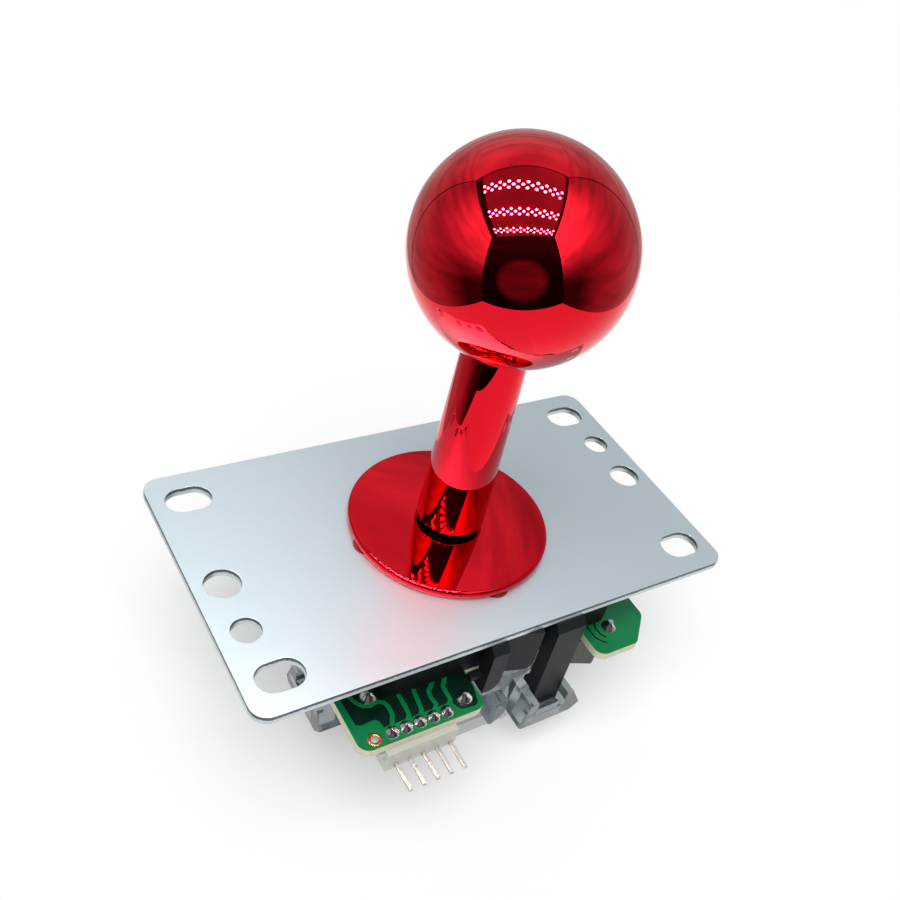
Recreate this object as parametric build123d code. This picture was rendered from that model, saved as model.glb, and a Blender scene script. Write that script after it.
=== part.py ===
from build123d import *
import os
from math import acos, cos, radians, sin, sqrt, tan

# An arcade joystick lever, in millimetres.
# The origin is on the lever's axis, on the mounting plate's top face. +Z runs up the lever,
# +X along the plate's long side, and -Y is the side where the plug's pins point.
# The parts under the plate repeat four times, a quarter turn apart, like a pinwheel.

QUARTERS = (0, 90, 180, 270)

# Fits between pieces
seat_gap = 0.05
running_gap = 0.06
moving_gap = 0.2

# Mounting plate
plate_length = 95.0
plate_width = 53.0
plate_thickness = 1.6
plate_corner = 3.0
plate_opening = 24.0
slot_edge = 6.5
slot_length = 8.0
slot_width = 5.7
end_hole = 6.1
end_hole_edge = 5.0
small_hole = 5.0
small_hole_offset = 10.2
screw_circle = 16.3
screw_size = 2.9
screw_head = 5.2
screw_length = 6.6

# How the lever moves: the ball joint's depth under the plate's top, and the tilt each way
pivot_depth = 4.0
tilt = 6.0

# Lever
ball_size = 35.0
ball_height = 57.0
insert_size = 8.4
insert_length = 13.5
insert_groove = 0.6
insert_groove_width = 2.0
thread_size = 5.9
thread_length = 11.5
shaft_size = 9.5
tail_size = 8.0
shaft_bevel = 0.7
driver_slot = 1.2
driver_slot_depth = 1.6
cover_foot = 12.48
cover_top = 11.0
cover_bevel = 0.25
pivot_ball_size = 16.0
pivot_ball_top = 2.0
pivot_ball_bottom = 5.0
ring_thickness = 0.9
ring_size = 10.4
ring_groove = 1.0
ring_mouth = 3.0
ring_notch = 0.5

# Dust washer
washer_size = 36.8
washer_thickness = 1.7
washer_rim = 0.6
washer_hole = 13.8

# Housing
housing_width = 48.4
housing_corner = 3.0
housing_wall = 1.8
deck_thickness = 2.4
socket_wall = 3.6
socket_lip = 0.4
rib_width = 1.4
rib_depth = 4.0
boss_size = 6.0
boss_depth = 6.4
leg_stand = 3.9
leg_inset = 17.0
leg_width = 6.1
leg_thickness = 3.0
leg_shoulder = 0.9
shoulder_drop = 2.0
shoulder_height = 1.1
leg_tip_thickness = 1.8
leg_length = 27.2
root_bevel = 1.25
catch_level = 24.4
catch_depth = 0.9
catch_height = 0.6
prong_inset = 17.9
prong_width = 3.3
prong_thickness = 2.8
prong_length = 12.6
nub_length = 2.2
nub_depth = 1.4
nub_height = 1.1
tongue_width = 6.5
tongue_side = 1.5
tongue_inset = 2.9
tongue_thickness = 1.5
tongue_length = 11.5
tongue_turn = 14.0

# Circuit board
board_top = 10.0
board_thickness = 1.6
board_margin = 6.8
lobe_front = 1.0
lobe_side = 0.5
board_opening = 28.8
board_corner = 2.1
corner_cut = 5.2
lead_clearance = 0.15
spare_hole = 1.8
spare_hole_pitch = 3.2
notch_low_inset = 16.0
notch_high_inset = 7.3
notch_inset = 0.2
joint_size = 2.3
joint_height = 0.75
joint_tip = 0.8

# Header: the plug's block and its pins
pin_count = 5
pin_pitch = 2.54
pin_inset = 6.2
pin_row_edge = 1.7
pin_size = 0.64
pin_depth = 14.8
pin_overhang = 5.3
header_start = 1.87
header_width = 13.9
header_overhang = 1.1
header_depth = 3.9
header_height = 4.0
header_step = 1.6
header_lip = 0.4
header_lip_width = 2.4
header_nib = 0.7

# Snap switches, drawn with their terminals' line along X before they are turned
switch_turn = 23.1
terminal_outside = 1.6677909
terminal_inside = 1.5313566
terminal_spacing = 16.1
terminal_width = 1.2
terminal_thickness = 0.5
terminal_drop = 3.2
case_length = 19.8
case_face = 19.6
case_height = 6.4
case_end = 2.4
case_gap = 1.2
case_hole = 2.4
case_hole_spacing = 9.5
case_hole_edge = 2.9
case_bevel = 0.5
seam_place = 3.1
seam_width = 0.2
hinge_inset = 3.9
leaf_thickness = 0.3
leaf_width = 4.0
leaf_length = 21.4
leaf_foot = 1.3
leaf_kick = 0.5
leaf_kick_length = 1.2
plunger_offset = 5.5
plunger_length = 2.4
plunger_width = 3.0
plunger_reach = 2.0
plunger_tail = 2.0
plunger_travel = 0.9

# Actuator and spring
cup_gap = 0.971184
cup_wall = 1.7
cup_rim = 12.4
cup_floor = 17.8
cup_floor_thickness = 1.8
hub_size = 12.0
hub_top = 13.2
collar_size = 14.0
collar_end = 31.9
moulded_bevel = 0.5
ring_recess = 2.9
ring_clearance = 0.4
spring_wire = 1.1
spring_size = 17.2
spring_turns = 4.5
spring_seat_rim = 1.5
spring_washer_thickness = 0.8

# Restrictor gate
gate_bottom = 33.0
gate_width = 47.0
gate_corner = 18.0
gate_wall = 1.8
gate_floor = 2.4
gate_opening_corner = 3.0
gate_lip = 1.2
gate_rib = 1.6
rib_gap = 6.5
bracket_side = 3.5
bracket_skew = 1.2
bracket_flare = 1.6
bracket_waist = 5.5
bracket_cover = 2.2
bracket_chamfer = 1.5
bracket_web = 1.8
bar_top = 23.4
post_aside = 8.2
post_width = 3.0
post_stand = 4.1
post_length = 6.2
post_bevel = 0.4

# Worked out from the sizes above
slot_spacing_x = plate_length - 2 * slot_edge
slot_spacing_y = plate_width - 2 * slot_edge
end_hole_spacing = plate_length - 2 * end_hole_edge
pivot = -pivot_depth
worst_tilt = acos(cos(radians(tilt)) ** 2)
plate_under = -plate_thickness
deck_under = plate_under - deck_thickness
board_under = -board_top - board_thickness
case_bottom = board_under - case_height
case_middle = board_under - case_height / 2
shoulder_level = case_bottom - shoulder_drop
leg_reach = housing_width / 2 + leg_stand
leg_inner = leg_reach - leg_thickness
root_inside = housing_width / 2 - housing_wall
leg_low_side = housing_width / 2 - leg_inset
prong_low_side = prong_inset - housing_width / 2
board_half = housing_width / 2 + board_margin
board_front, board_left = board_half + lobe_front, board_half + lobe_side
notch_floor = housing_width / 2 - notch_inset
notch_low_side = notch_low_inset - housing_width / 2
notch_high_side = housing_width / 2 - notch_high_inset
pin_first = pin_inset - board_left
pin_row = board_front - pin_row_edge
header_front = board_front + header_overhang
pin_reach = header_front + pin_overhang
bracket_front = leg_reach + bracket_cover
post_reach = gate_width / 2 + post_stand
post_low_side = leg_low_side - post_aside
spring_seat = pivot - pivot_ball_bottom + socket_lip
turn_cos, turn_sin = cos(radians(switch_turn)), sin(radians(switch_turn))
terminal_x, terminal_y = housing_width / 2 + terminal_outside, housing_width / 2 - terminal_inside
terminal_line = terminal_x * turn_sin + terminal_y * turn_cos
terminal_first = terminal_y * turn_sin - terminal_x * turn_cos
case_depth = terminal_line - case_gap - case_face
case_low_side = terminal_first - case_end
hinge_side = case_low_side + hinge_inset
leaf_line = case_face * turn_cos + hinge_side * turn_sin
leaf_start = hinge_side * turn_cos - case_face * turn_sin
cup_size = 2 * (leaf_line - cup_gap)


def ring(outer, inner, low, high):
    """A tube on the lever's axis between two heights. The sizes are diameters."""
    return extrude(Plane.XY.offset(low) * (Circle(outer / 2) - Circle(inner / 2)), high - low)


def rod(size, low, high):
    """A round bar on the lever's axis between two heights."""
    return extrude(Plane.XY.offset(low) * Circle(size / 2), high - low)


def block(x, y, z):
    """A plain block between two corners, given as pairs of low and high places."""
    centre = Pos((x[0] + x[1]) / 2, (y[0] + y[1]) / 2, (z[0] + z[1]) / 2)
    return centre * Box(x[1] - x[0], y[1] - y[0], z[1] - z[0])


def turned(*points):
    """A solid turned about the lever's axis from an outline of radius and height."""
    return revolve(make_face(Plane.XZ * Polyline(*points, close=True)), Axis.Z)


def side_profile(points, low, high):
    """An outline of depth and height, run along X from one side to the other."""
    outline = Plane.YZ.offset(low) * make_face(Polyline(*points, close=True))
    return extrude(outline, high - low)


def front_profile(points, front, back):
    """An outline of width and height, run along Y from the back to the front."""
    outline = Plane.XZ.offset(-back) * make_face(Polyline(*points, close=True))
    return extrude(outline, back - front)


def around(shape):
    """The shape and its three copies, a quarter turn apart."""
    return [Rot(0, 0, angle) * shape for angle in QUARTERS]


def screw_places():
    return [Rot(0, 0, angle) * Pos(screw_circle, 0) for angle in QUARTERS]


# Mounting plate and what lies on it


def screw_shape(extra):
    """A countersunk screw, head upwards, with its head just under the plate's top face."""
    head, body = screw_head / 2 + extra, screw_size / 2 + extra
    head_drop = head - body
    top, low = extra - seat_gap, -screw_length - extra
    return turned((0, top), (head, top), (body, -seat_gap - head_drop), (body, low), (0, low))


def mounting_plate():
    outline = RectangleRounded(plate_length, plate_width, plate_corner)
    for x in (-slot_spacing_x / 2, slot_spacing_x / 2):
        for y in (-slot_spacing_y / 2, slot_spacing_y / 2):
            outline -= Pos(x, y) * SlotOverall(slot_length, slot_width)
    for side in (-1, 1):
        outline -= Pos(side * end_hole_spacing / 2, 0) * Circle(end_hole / 2)
        corner_hole = Pos(side * end_hole_spacing / 2, side * small_hole_offset)
        outline -= corner_hole * Circle(small_hole / 2)
    outline -= Circle(plate_opening / 2)
    plate = extrude(Plane.XY.offset(plate_under) * outline, plate_thickness)
    for place in screw_places():
        plate -= place * screw_shape(seat_gap)
    return plate


def plate_screws():
    return Compound(children=[place * screw_shape(0) for place in screw_places()])


def dust_washer():
    disc = ring(washer_size, washer_hole, 0, washer_thickness)
    rims = disc.edges().filter_by(GeomType.CIRCLE).sort_by(SortBy.RADIUS)[-2:]
    return fillet(rims, washer_rim)


# Housing


def socket():
    """The ball's seat: a straight bore down to the ball's middle, and a hollow under it."""
    radius = pivot_ball_size / 2 + running_gap
    bore = rod(2 * radius, pivot, 1)
    return bore + Pos(0, 0, pivot) * Sphere(radius)


def housing_leg():
    """A long leg: a bevelled root, a shoulder that rests on the gate, and a tip with a catch."""
    front, back, step = -leg_reach, -leg_inner, -leg_inner + leg_shoulder
    catch, end = -catch_level, -leg_length
    foot = shoulder_level + shoulder_height
    points = [
        (-root_inside, plate_under),
        (front + root_bevel, plate_under),
        (front, plate_under - root_bevel),
        (front, catch),
        (front - catch_depth, catch),
        (front - catch_depth, catch - catch_height),
        (front + seat_gap, end),
        (front + leg_tip_thickness, end),
        (front + leg_tip_thickness, shoulder_level),
        (step, shoulder_level),
        (step, foot),
        (back, foot + leg_shoulder),
        (back, deck_under - leg_shoulder),
        (step, deck_under),
        (-root_inside, deck_under),
    ]
    return side_profile(points, leg_low_side, leg_low_side + leg_width)


def housing_prong():
    """A short prong that stands in the board's notch, with a nub that holds the board's edge."""
    front, back = -leg_reach, -leg_reach + prong_thickness
    points = [
        (-root_inside, plate_under),
        (front + root_bevel, plate_under),
        (front, plate_under - root_bevel),
        (front, -prong_length),
        (back, -prong_length),
        (back, deck_under),
        (-root_inside, deck_under),
    ]
    prong = side_profile(points, prong_low_side, prong_low_side + prong_width)
    corner = prong.edges().filter_by(Axis.Y).group_by(Axis.Z)[0].sort_by(Axis.X)[-1]
    nub_sides = (prong_low_side - nub_length, prong_low_side)
    nub = block(nub_sides, (back - nub_depth, back), (-board_top, -board_top + nub_height))
    return fillet(corner, prong_width * 0.7) + nub


def housing_tongue():
    """A broad tongue with a round end, turned a little, between the prong and the leg."""
    depth = tongue_length + plate_under
    outline = Pos(0, plate_under - depth / 2) * Rectangle(tongue_width, depth)
    outline = fillet(outline.vertices().group_by(Axis.Y)[0], tongue_width * 0.3)
    tongue = extrude(Plane.XZ * outline, tongue_thickness)
    face = -leg_reach + tongue_inset
    place = Pos(tongue_side, face, 0) * Rot(0, 0, -tongue_turn)
    root_half = tongue_width / 2 - tongue_thickness / 2
    root_sides = (tongue_side - root_half, tongue_side + root_half)
    root = block(root_sides, (face - tongue_thickness / 2, -root_inside), (deck_under, plate_under))
    return place * tongue + root


def housing():
    inside = housing_width - 2 * housing_wall
    outline = RectangleRounded(housing_width, housing_width, housing_corner)
    hollow = RectangleRounded(inside, inside, housing_corner - housing_wall)
    deck = extrude(Plane.XY.offset(deck_under) * outline, deck_thickness)
    wall = extrude(Plane.XY.offset(-board_top) * (outline - hollow), board_top + deck_under)
    body = deck + wall + rod(pivot_ball_size + 2 * socket_wall, spring_seat, deck_under)
    rib_end = housing_width / sqrt(2) - housing_corner
    rib_sides = (-rib_width / 2, rib_width / 2)
    rib = block((pivot_ball_size / 2 + 2, rib_end), rib_sides, (deck_under - rib_depth, deck_under))
    for angle in QUARTERS:
        body += Rot(0, 0, angle + 45) * rib
    for place in screw_places():
        boss = extrude(Plane.XY.offset(plate_under - boss_depth) * Circle(boss_size / 2), boss_depth)
        body += place * boss
    for part in (housing_leg(), housing_prong(), housing_tongue()):
        for copy in around(part):
            body += copy
    body -= socket()
    for place in screw_places():
        body -= place * screw_shape(seat_gap)
    return body


# Circuit board and header


def terminal_places():
    """Where the switches' terminals pass the board, for all four switches."""
    places = []
    for angle in QUARTERS:
        for number in range(2):
            along = terminal_first + number * terminal_spacing
            places.append(Rot(0, 0, angle - switch_turn) * Pos(along, -terminal_line))
    return places


def header_places():
    return [Pos(pin_first + number * pin_pitch, -pin_row) for number in range(pin_count)]


def circuit_board():
    outline = Rectangle(2 * board_half, 2 * board_half)
    cut_side = corner_cut * sqrt(2)
    cut = Pos(-board_half, -board_half) * Rot(0, 0, 45) * Rectangle(cut_side, cut_side)
    for angle in QUARTERS[1:]:
        outline -= Rot(0, 0, angle) * cut
    lobe_right, lobe_back = notch_low_side, board_corner - notch_high_side
    lobe = Rectangle(lobe_right + board_left, board_front + lobe_back)
    outline += Pos((lobe_right - board_left) / 2, (lobe_back - board_front) / 2) * lobe
    width, depth = notch_high_side - notch_low_side, 2 * (board_front - notch_floor)
    notch = Pos(notch_low_side + width / 2, -notch_floor - depth / 2) * Rectangle(width, depth)
    for angle in QUARTERS:
        outline -= Rot(0, 0, angle) * notch
    rim = [v for v in outline.vertices() if max(abs(v.X), abs(v.Y)) > notch_floor + 1]
    outline = fillet(rim, board_corner)
    outline -= Circle(board_opening / 2)
    for place in terminal_places():
        outline -= place * Circle(terminal_width / 2 + lead_clearance)
    for place in header_places():
        outline -= place * Circle(pin_size / sqrt(2) + lead_clearance)
    outline -= Pos(pin_first - spare_hole_pitch, -pin_row) * Circle(spare_hole / 2)
    return extrude(Plane.XY.offset(board_under) * outline, board_thickness)


def solder_joints():
    """A dome of solder round each lead's end, as one group."""
    foot, tip, top = joint_size / 2, joint_tip / 2, joint_height + 0.5
    shoulder = (foot * 0.86, joint_height * 0.4)
    dome = turned((0, 0), (foot, 0), shoulder, (tip, joint_height), (tip, top), (0, top))
    places = header_places() + terminal_places()
    return Compound(children=[Pos(0, 0, -board_top) * place * dome for place in places])


def header_pins():
    """Square pins, bent once: down through the board, then out of the block towards -Y."""
    half = pin_size / 2
    low, high = -pin_depth - half, -pin_depth + half
    points = [
        (-pin_row - half, -board_top),
        (-pin_row + half, -board_top),
        (-pin_row + half, low),
        (-pin_reach + half, low),
        (-pin_reach, low + half / 2),
        (-pin_reach, high - half / 2),
        (-pin_reach + half, high),
        (-pin_row - half, high),
    ]
    pin = side_profile(points, -half, half)
    places = [Pos(pin_first + number * pin_pitch, 0, 0) for number in range(pin_count)]
    return Compound(children=[place * pin for place in places])


def header_base():
    """The plug's block under the board's edge, with a step at each end and a lip at the left."""
    left = pin_first - header_start
    right = left + header_width
    top, bottom = board_under, board_under - header_height
    points = [
        (left, top),
        (right, top),
        (right, bottom + header_step),
        (right - header_step / 2, bottom + header_lip),
        (right - header_step, bottom + header_lip),
        (right - header_step, bottom),
        (left + header_lip_width, bottom),
        (left + header_lip_width, bottom - header_lip),
        (left, bottom - header_lip),
    ]
    body = front_profile(points, -header_front, -header_front + header_depth)
    nib_depth = (-header_front + header_nib, -header_front + header_depth / 2)
    nib = block((left - header_nib, left), nib_depth, (top - header_height / 2, top - header_nib))
    return body + nib - header_pins()


# Snap switches


def switch_case():
    """One case, before its turn: inner face towards the lever, with plunger pocket and leaf slot."""
    inner, back = -case_face, -case_face - case_depth
    middle = case_low_side + case_length / 2
    high_side = case_low_side + case_length
    case = block((case_low_side, high_side), (back, inner), (case_bottom, board_under))
    case = chamfer(case.edges().filter_by(Axis.Z), case_bevel)
    for side in (-1, 1):
        hole = Pos(middle + side * case_hole_spacing / 2, back + case_hole_edge, case_bottom)
        case -= hole * Cylinder(case_hole / 2, 3 * case_height)
    plunger_x = hinge_side + plunger_offset
    half_length = plunger_length / 2 + running_gap
    half_width = plunger_width / 2 + running_gap
    pocket = plunger_tail + plunger_travel + moving_gap
    case -= block(
        (plunger_x - half_length, plunger_x + half_length),
        (inner - pocket, inner + 1),
        (case_middle - half_width, case_middle + half_width),
    )
    slot, slot_depth = leaf_width / 2 + moving_gap, leaf_foot + case_bevel
    slot_sides = (hinge_side - leaf_foot + 2 * moving_gap, hinge_side + case_bevel)
    case -= block(slot_sides, (inner - slot_depth, inner + 1), (case_middle - slot, case_middle + slot))
    seam = (inner - seam_place - seam_width / 2, inner - seam_place + seam_width / 2)
    return case - block((case_low_side - 1, high_side + 1), seam, (case_bottom - 1, case_bottom + seam_width))


def switch_plunger():
    """The switch's button: it slides in the case's pocket, and the leaf lies on its round end."""
    inner = -case_face
    middle = hinge_side + plunger_offset
    button = block(
        (middle - plunger_length / 2, middle + plunger_length / 2),
        (inner - plunger_tail, inner + plunger_reach),
        (case_middle - plunger_width / 2, case_middle + plunger_width / 2),
    )
    ends = button.edges().filter_by(Axis.Z).group_by(Axis.Y)[-1]
    return fillet(ends, plunger_length * 0.4)


def switch_terminals():
    """Two flat legs, bent up from the case's back through the board."""
    back = -terminal_line + case_gap
    half = terminal_thickness / 2
    level = board_under - terminal_drop
    points = [
        (back, level - half),
        (-terminal_line - half, level - half),
        (-terminal_line - half, -board_top),
        (-terminal_line + half, -board_top),
        (-terminal_line + half, level + half),
        (back, level + half),
    ]
    legs = []
    for number in range(2):
        centre = terminal_first + number * terminal_spacing
        legs.append(side_profile(points, centre - terminal_width / 2, centre + terminal_width / 2))
    return legs


def switch_leaf():
    """A thin blade along X beside the actuator's cup, with its foot turned into the case."""
    line, face = -leaf_line, -leaf_line + leaf_thickness
    start, tip = leaf_start - moving_gap, leaf_start + leaf_length
    lean = leaf_foot * tan(radians(switch_turn))
    points = [
        (start, line),
        (tip - leaf_kick_length, line),
        (tip, line - leaf_kick),
        (tip, face - leaf_kick),
        (tip - leaf_kick_length, face),
        (start - leaf_thickness, face),
        (start - leaf_thickness - lean, line - leaf_foot),
        (start - lean, line - leaf_foot),
    ]
    low = case_middle - leaf_width / 2
    return extrude(Plane.XY.offset(low) * make_face(Polyline(*points, close=True)), leaf_width)


# Lever and actuator


def cover_foot_height():
    """The cover's foot stands just high enough to clear the washer when the lever leans."""
    reach = washer_thickness + moving_gap - pivot + cover_foot / 2 * sin(worst_tilt)
    return pivot + reach / cos(worst_tilt)


def ball_seat():
    """The height where the cover's top meets the ball."""
    return ball_height - sqrt((ball_size / 2) ** 2 - (cover_top / 2) ** 2)


def pivot_ball():
    top, bottom = pivot + pivot_ball_top, pivot - pivot_ball_bottom
    body = Pos(0, 0, pivot) * Sphere(pivot_ball_size / 2)
    body &= rod(pivot_ball_size + 2, bottom, top)
    return body - rod(tail_size + 2 * running_gap, bottom - 1, top + 1)


def lower_ring_top():
    return -collar_end + ring_recess


def shaft():
    """One turned bar: thread, body, shoulder on the pivot ball, tail with two grooves and a slot."""
    seat = ball_seat()
    shoulder = pivot + pivot_ball_top + seat_gap
    bottom = -collar_end
    body, tail, thread = shaft_size / 2, tail_size / 2, thread_size / 2
    points = [
        (0, bottom),
        (tail - shaft_bevel, bottom),
        (tail, bottom + shaft_bevel),
        (tail, shoulder),
        (body, shoulder),
        (body, seat),
        (thread, seat),
        (thread, seat + thread_length - shaft_bevel),
        (thread - shaft_bevel, seat + thread_length),
        (0, seat + thread_length),
    ]
    bar = turned(*points)
    for top in (upper_ring_top(), lower_ring_top()):
        bar -= ring(tail_size + 1, tail_size - 2 * ring_groove, top - ring_thickness - seat_gap, top)
    half = driver_slot / 2
    return bar - block((-tail_size, tail_size), (-half, half), (bottom - 1, bottom + driver_slot_depth))


def upper_ring_top():
    return pivot - pivot_ball_bottom - seat_gap


def retaining_ring(top):
    """A thin spring clip in the shaft's groove, open at one side."""
    inner = tail_size - 2 * ring_groove + 2 * seat_gap
    clip = ring(ring_size, inner, top - ring_thickness, top)
    clip -= block((0, ring_size), (-ring_mouth / 2, ring_mouth / 2), (top - 2, top + 1))
    notch = Pos(inner / 2 + ring_notch / 2, 0, top) * Cylinder(ring_notch, 3 * ring_thickness)
    for angle in (60, 180, 300):
        clip -= Rot(0, 0, angle) * notch
    return clip


def shaft_cover():
    """A straight tapered sleeve, with a small bevel at the foot and at the top."""
    foot, seat = cover_foot_height(), ball_seat()
    bore, bevel = shaft_size / 2 + seat_gap, cover_bevel
    return turned(
        (bore, foot),
        (cover_foot / 2 - bevel, foot),
        (cover_foot / 2, foot + bevel),
        (cover_top / 2, seat - bevel),
        (cover_top / 2 - bevel, seat),
        (bore, seat),
    )


def ball_top():
    seat = ball_seat()
    ball = Pos(0, 0, ball_height) * Sphere(ball_size / 2)
    ball -= rod(ball_size, ball_height - ball_size, seat)
    ball -= rod(insert_size + 2 * seat_gap, seat - 1, seat + insert_length)
    return ball


def ball_insert():
    """A threaded bush in the ball, with a groove round its middle that locks it in."""
    low, high = ball_seat() + seat_gap, ball_seat() + insert_length
    bush = ring(insert_size, thread_size + 2 * seat_gap, low, high)
    middle, half = (low + high) / 2, insert_groove_width / 2
    return bush - ring(insert_size + 1, insert_size - 2 * insert_groove, middle - half, middle + half)


def actuator():
    """A cup that holds the spring and presses the leaves, over a collar that meets the gate."""
    cup, collar, hub, floor = cup_size / 2, collar_size / 2, hub_size / 2, -cup_floor
    bore = tail_size / 2 + running_gap
    recess = ring_size / 2 + ring_clearance
    under, bevel = floor - cup_floor_thickness, moulded_bevel
    return turned(
        (bore, -hub_top),
        (hub, -hub_top),
        (hub, floor),
        (cup - cup_wall, floor),
        (cup - cup_wall, -cup_rim),
        (cup - bevel, -cup_rim),
        (cup, -cup_rim - bevel),
        (cup, under + bevel),
        (cup - bevel, under),
        (collar, under),
        (collar, -collar_end + bevel),
        (collar - bevel, -collar_end),
        (recess, -collar_end),
        (recess, lower_ring_top() + seat_gap),
        (bore, lower_ring_top() + seat_gap),
    )


def spring_washer():
    """The spring's upper seat, under the housing's socket."""
    inner = spring_size - 2 * spring_wire - 2 * moving_gap
    outer = spring_size + 2 * spring_seat_rim
    return ring(outer, inner, spring_seat - spring_washer_thickness, spring_seat)


def centering_spring():
    """A round wire coil between the seat and the cup's floor."""
    wire = spring_wire / 2
    low = -cup_floor + wire + seat_gap
    high = spring_seat - spring_washer_thickness - wire - seat_gap
    pitch = (high - low) / spring_turns
    radius = (spring_size - spring_wire) / 2
    path = Helix(pitch, high - low, radius)
    section = Plane(origin=path @ 0, z_dir=path % 0) * Circle(wire)
    return Pos(0, 0, low) * sweep(section, path=path, is_frenet=True)


# Restrictor gate


def gate_opening_half():
    """Half the square hole, from the collar's size and how far it swings at the gate's floor."""
    reach = gate_bottom + pivot
    swing = collar_size / 2 * cos(radians(tilt)) + reach * sin(radians(tilt))
    return swing + moving_gap


def gate_bracket():
    """One bracket: a flared block with a slot for the leg's tip and a low bar in front of it."""
    left = leg_low_side - bracket_side
    right = leg_low_side + leg_width + bracket_side + bracket_skew
    top, bottom = shoulder_level, -gate_bottom
    flare, bevel = bracket_flare, bracket_chamfer
    waist = top - bracket_waist
    back = gate_wall / 2 - gate_width / 2
    points = [
        (left + flare, top),
        (right - 2 * flare, top),
        (right, waist),
        (right, bottom + bevel),
        (right - bevel, bottom),
        (left + bevel, bottom),
        (left, bottom + bevel),
        (left, waist),
    ]
    body = front_profile(points, -bracket_front, back)
    foot = body.edges().filter_by(Axis.X).group_by(Axis.Z)[0].sort_by(Axis.Y)[0]
    web = block((right - bracket_web, right), (back, gate_corner - gate_width / 2), (bottom + bevel, waist))
    return chamfer(foot, bevel) + web


def bracket_slot():
    """The room for the leg's tip: a slot open to the front over the bar, and its catch's pocket."""
    sides = (leg_low_side - moving_gap, leg_low_side + leg_width + moving_gap)
    back, front = -leg_reach + leg_tip_thickness + moving_gap, -leg_reach - moving_gap
    low, top = -leg_length - moving_gap, case_bottom + 1
    slot = block(sides, (front, back), (low, top))
    slot += block(sides, (-bracket_front - 1, back), (-bar_top, top))
    return slot + block(sides, (front - catch_depth, back), (low, -catch_level + seat_gap))


def gate_post():
    """A small square post outside the wall, between the prong and the bracket."""
    sides = (post_low_side, post_low_side + post_width)
    top = shoulder_level - moving_gap
    post = block(sides, (-post_reach, gate_wall / 2 - gate_width / 2), (top - post_length, top))
    return chamfer(post.faces().sort_by(Axis.Y)[0].edges(), post_bevel)


def restrictor_gate():
    """A clear tray under the switches: a square hole in its floor stops the lever's collar."""
    outer = RectangleRounded(gate_width, gate_width, gate_corner)
    inside = gate_width - 2 * gate_wall
    hollow = RectangleRounded(inside, inside, gate_corner - gate_wall)
    floor, top = -gate_bottom + gate_floor, case_bottom - seat_gap
    tray = extrude(Plane.XY.offset(-gate_bottom) * outer, top + gate_bottom)
    for part in (gate_bracket(), gate_post()):
        for copy in around(part):
            tray += copy
    tray -= extrude(Plane.XY.offset(floor) * hollow, gate_bottom)
    for slot in around(bracket_slot()):
        tray -= slot
    opening = 2 * gate_opening_half()
    hole = RectangleRounded(opening, opening, gate_opening_corner)
    lip_width = opening + 2 * gate_rib
    lip = RectangleRounded(lip_width, lip_width, gate_opening_corner + gate_rib)
    tray += extrude(Plane.XY.offset(floor) * lip, gate_lip)
    tray -= extrude(Plane.XY.offset(-gate_bottom - 1) * hole, gate_floor + gate_lip + 2)
    rib_end = (gate_width / 2 - gate_corner) * sqrt(2) + gate_corner - gate_wall / 2
    rib = block((cup_size / 2 + rib_gap, rib_end), (-gate_rib / 2, gate_rib / 2), (floor, top))
    for angle in QUARTERS:
        tray += Rot(0, 0, angle + 45) * rib
    return tray


def build():
    """Every piece by its name."""
    parts = {
        "mounting_plate": mounting_plate(),
        "plate_screws": plate_screws(),
        "dust_washer": dust_washer(),
        "housing": housing(),
        "circuit_board": circuit_board(),
        "solder_joints": solder_joints(),
        "header_base": header_base(),
        "header_pins": header_pins(),
        "restrictor_gate": restrictor_gate(),
        "spring_washer": spring_washer(),
        "centering_spring": centering_spring(),
        "pivot_ball": pivot_ball(),
        "actuator": actuator(),
        "shaft": shaft(),
        "upper_ring": retaining_ring(upper_ring_top()),
        "lower_ring": retaining_ring(lower_ring_top()),
        "shaft_cover": shaft_cover(),
        "ball_top": ball_top(),
        "ball_insert": ball_insert(),
    }
    for number, angle in enumerate(QUARTERS, start=1):
        turn = Rot(0, 0, angle - switch_turn)
        parts[f"switch_case_{number}"] = turn * switch_case()
        parts[f"switch_plunger_{number}"] = turn * switch_plunger()
        parts[f"switch_terminals_{number}"] = Compound(children=[turn * leg for leg in switch_terminals()])
        parts[f"switch_leaf_{number}"] = Rot(0, 0, angle) * switch_leaf()
    return parts


os.makedirs("parts", exist_ok=True)
for name, shape in build().items():
    export_step(shape, f"parts/{name}.step")
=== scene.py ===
# %% [markdown]
# # An arcade joystick lever
#
# The real object is a ball-topped lever on a slotted steel plate, with a black housing, a green
# switch board, a pin header and a clear gate under it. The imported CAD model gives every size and
# place, and Blender adds the looks. We load the model first, because every piece made here rides on
# one of its bodies and stays in its frame.

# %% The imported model
import math

import bpy
from mathutils import Matrix, Vector


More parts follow.
